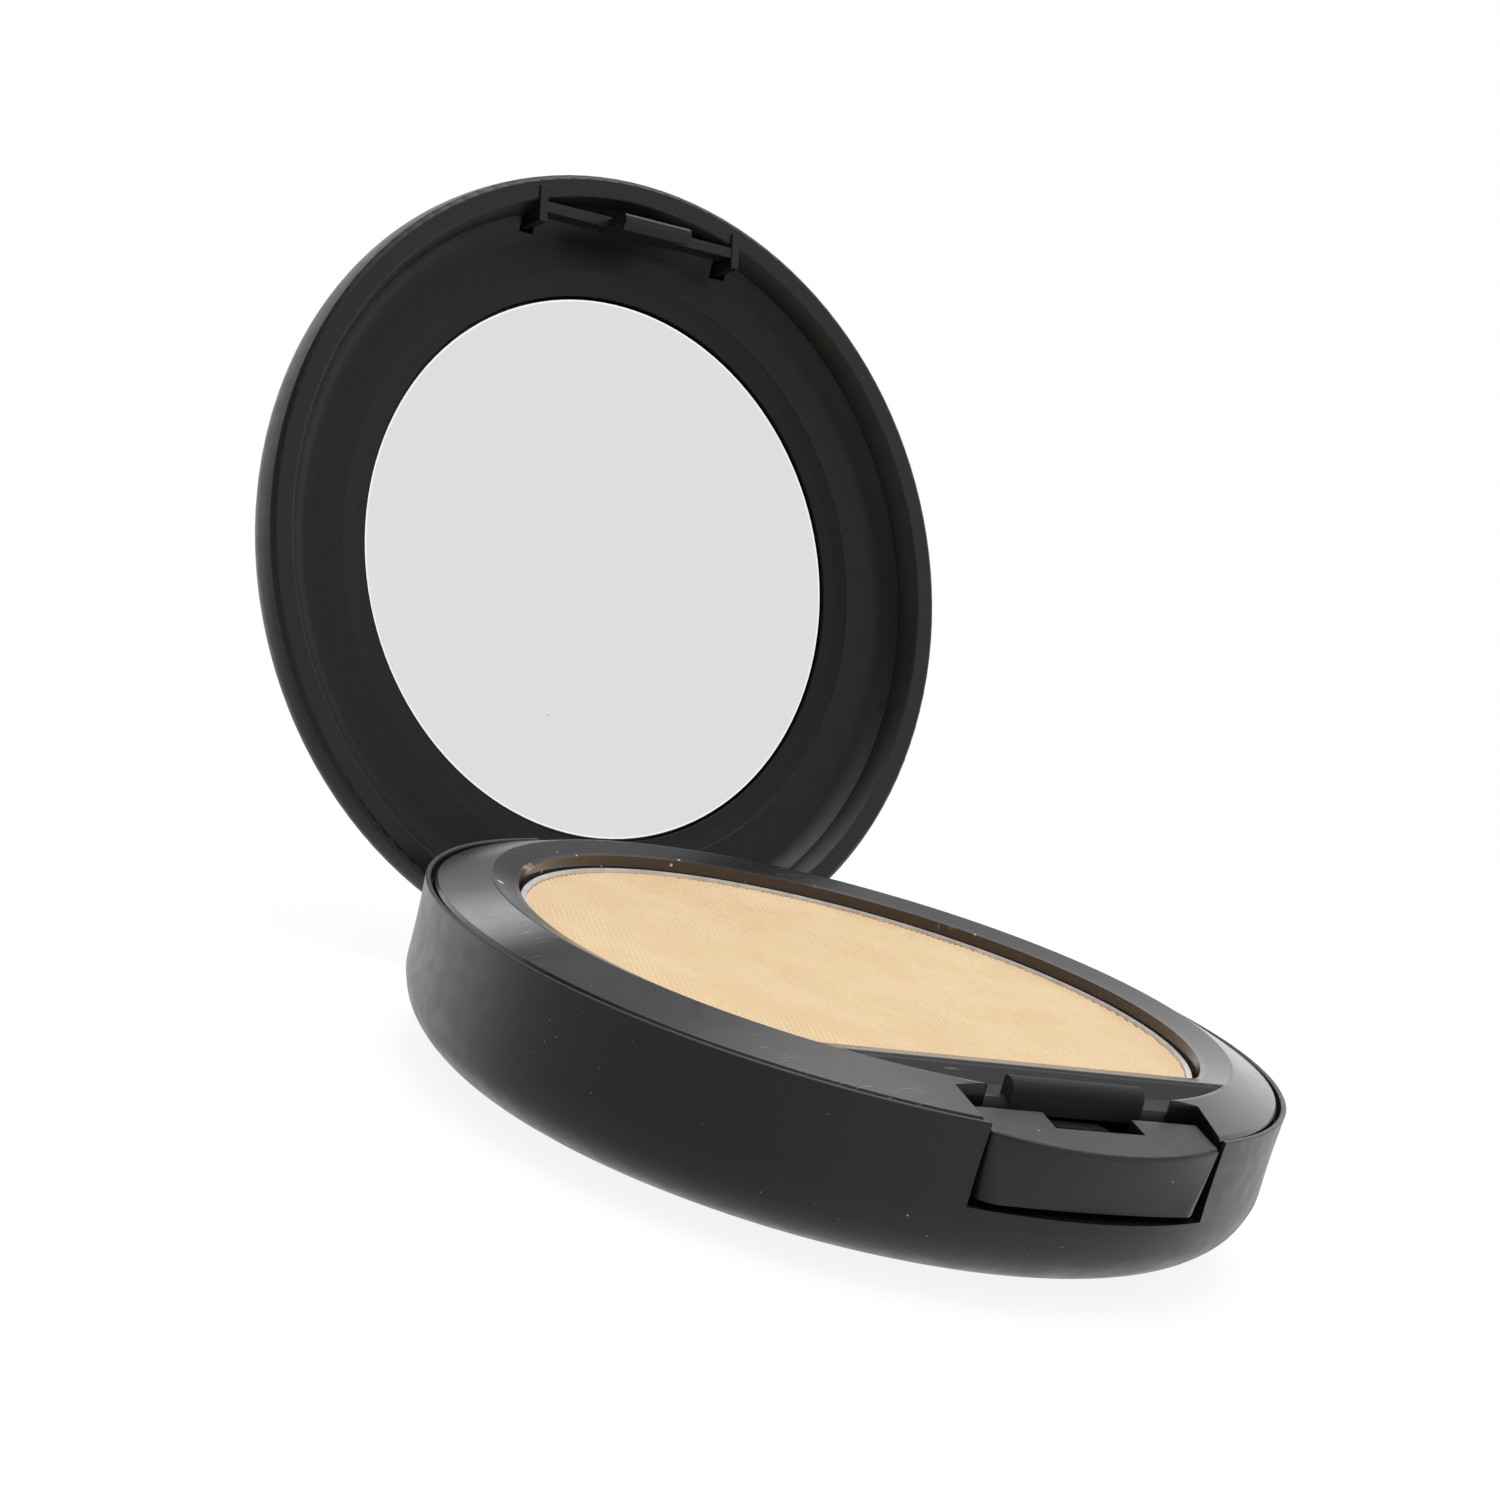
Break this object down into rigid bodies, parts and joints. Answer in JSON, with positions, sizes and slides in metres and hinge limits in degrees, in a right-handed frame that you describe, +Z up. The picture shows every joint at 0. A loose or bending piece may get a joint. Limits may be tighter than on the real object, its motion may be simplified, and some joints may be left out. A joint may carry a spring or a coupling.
{
  "type": "powder compact",
  "caption": "Round pressed-powder compact with a hinged mirror lid, a lift-up powder tray over a sponge compartment, and a sprung push-button latch.",
  "frame": {"origin": "centre of the flat face the compact stands on, under the centre of the round base", "axes": "+Z up, -Y towards the push button at the front, +Y towards the hinge, +X to the right seen from the front; the lid is stored open"},
  "size_m": [0.0824, 0.1166, 0.079],
  "materials": {
    "soft_touch_black": "matte",
    "satin_black": "satin",
    "moulded_black": "matte",
    "steel_wire": "satin",
    "tin_pan": "satin",
    "glue": "satin",
    "beige_powder": "matte",
    "mirror_glass": "polished",
    "latex_foam": "matte",
    "label_film": "satin"
  },
  "bodies": {
    "base": {"base_shell": "soft_touch_black", "base_label": "label_film", "sponge_applicator": "latex_foam", "hinge_pin": "steel_wire", "latch_spring_left": "steel_wire", "latch_spring_right": "steel_wire"},
    "button": {"latch_button": "satin_black"},
    "tray": {"powder_tray": "satin_black", "powder_pan": "tin_pan", "pan_adhesive": "glue", "pressed_powder": "beige_powder"},
    "lid": {"lid_shell": "soft_touch_black", "mirror_frame": "moulded_black", "mirror": "mirror_glass", "mirror_adhesive": "glue"}
  },
  "joints": [
    {"name": "tray_hinge", "type": "hinge", "parent": "base", "child": "tray", "pos_m": [0, 0.0364, 0.01], "axis": [-1, 0, 0], "range_deg": [0, 14]},
    {"name": "lid_hinge", "type": "hinge", "parent": "tray", "child": "lid", "pos_m": [0, 0.0364, 0.01], "axis": [-1, 0, 0], "range_deg": [-112.4, 0]},
    {"name": "button_slide", "type": "slide", "parent": "base", "child": "button", "axis": [0, 1, 0], "range_m": [0, 0.0009], "stiffness_N_per_m": 400, "springref_m": -0.0005, "deforming": ["latch_spring_left", "latch_spring_right"]}
  ]
}
